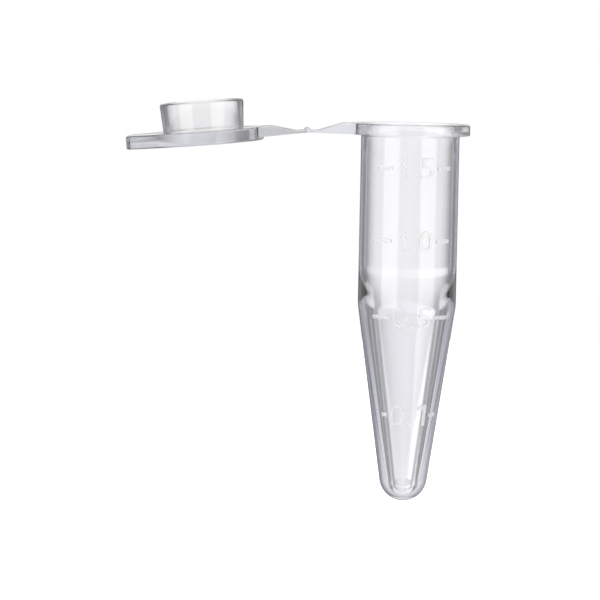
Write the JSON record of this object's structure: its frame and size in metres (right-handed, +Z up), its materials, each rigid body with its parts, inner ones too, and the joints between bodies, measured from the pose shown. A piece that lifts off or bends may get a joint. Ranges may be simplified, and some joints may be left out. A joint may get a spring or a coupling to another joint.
{
  "type": "microcentrifuge tube",
  "caption": "Conical plastic sample tube with a rim collar, raised graduation marks and a snap lid held open on a two-fold strap hinge.",
  "frame": {"origin": "on the tube's axis, at the underside of the rim collar, which rests on a rack's top", "axes": "+Z up along the tube's axis out of its mouth; the lid and its strap are on the -X side; the graduation marks face -Y"},
  "size_m": [0.037, 0.0128, 0.0433],
  "materials": {
    "clear_polypropylene": "clear, polished, faintly lilac",
    "lid_polypropylene": "clear, lightly clouded",
    "frosted_polypropylene": "frosted raised marks"
  },
  "bodies": {
    "tube": {"tube_body": "clear_polypropylene", "rim_collar": "clear_polypropylene", "tube_hinge_leaf": "clear_polypropylene", "mark_1_5_digit_a": "frosted_polypropylene", "mark_1_5_point": "frosted_polypropylene", "mark_1_5_digit_c": "frosted_polypropylene", "mark_1_5_left_tick": "frosted_polypropylene", "mark_1_5_right_tick": "frosted_polypropylene", "mark_1_0_digit_a": "frosted_polypropylene", "mark_1_0_point": "frosted_polypropylene", "mark_1_0_digit_c": "frosted_polypropylene", "mark_1_0_left_tick": "frosted_polypropylene", "mark_1_0_right_tick": "frosted_polypropylene", "mark_0_5_digit_a": "frosted_polypropylene", "mark_0_5_point": "frosted_polypropylene", "mark_0_5_digit_c": "frosted_polypropylene", "mark_0_5_left_tick": "frosted_polypropylene", "mark_0_5_right_tick": "frosted_polypropylene", "mark_0_1_digit_a": "frosted_polypropylene", "mark_0_1_point": "frosted_polypropylene", "mark_0_1_digit_c": "frosted_polypropylene", "mark_0_1_left_tick": "frosted_polypropylene", "mark_0_1_right_tick": "frosted_polypropylene"},
    "web": {"hinge_web": "clear_polypropylene"},
    "lid": {"lid_hinge_leaf": "lid_polypropylene", "lid_disc": "lid_polypropylene", "lid_plug": "clear_polypropylene", "thumb_tab": "lid_polypropylene"}
  },
  "joints": [
    {"name": "tube_fold", "type": "hinge", "parent": "tube", "child": "web", "pos_m": [-0.01016, 0, 0.00022], "axis": [0, 1, 0], "range_deg": [-40, 92.6]},
    {"name": "lid_fold", "type": "hinge", "parent": "web", "child": "lid", "pos_m": [-0.01209, 0, 0.00013], "axis": [0, 1, 0], "range_deg": [-40, 92.6]}
  ],
  "couplings": [
    {"joint": "tube_fold", "follows": "lid_fold", "ratio": 1}
  ]
}
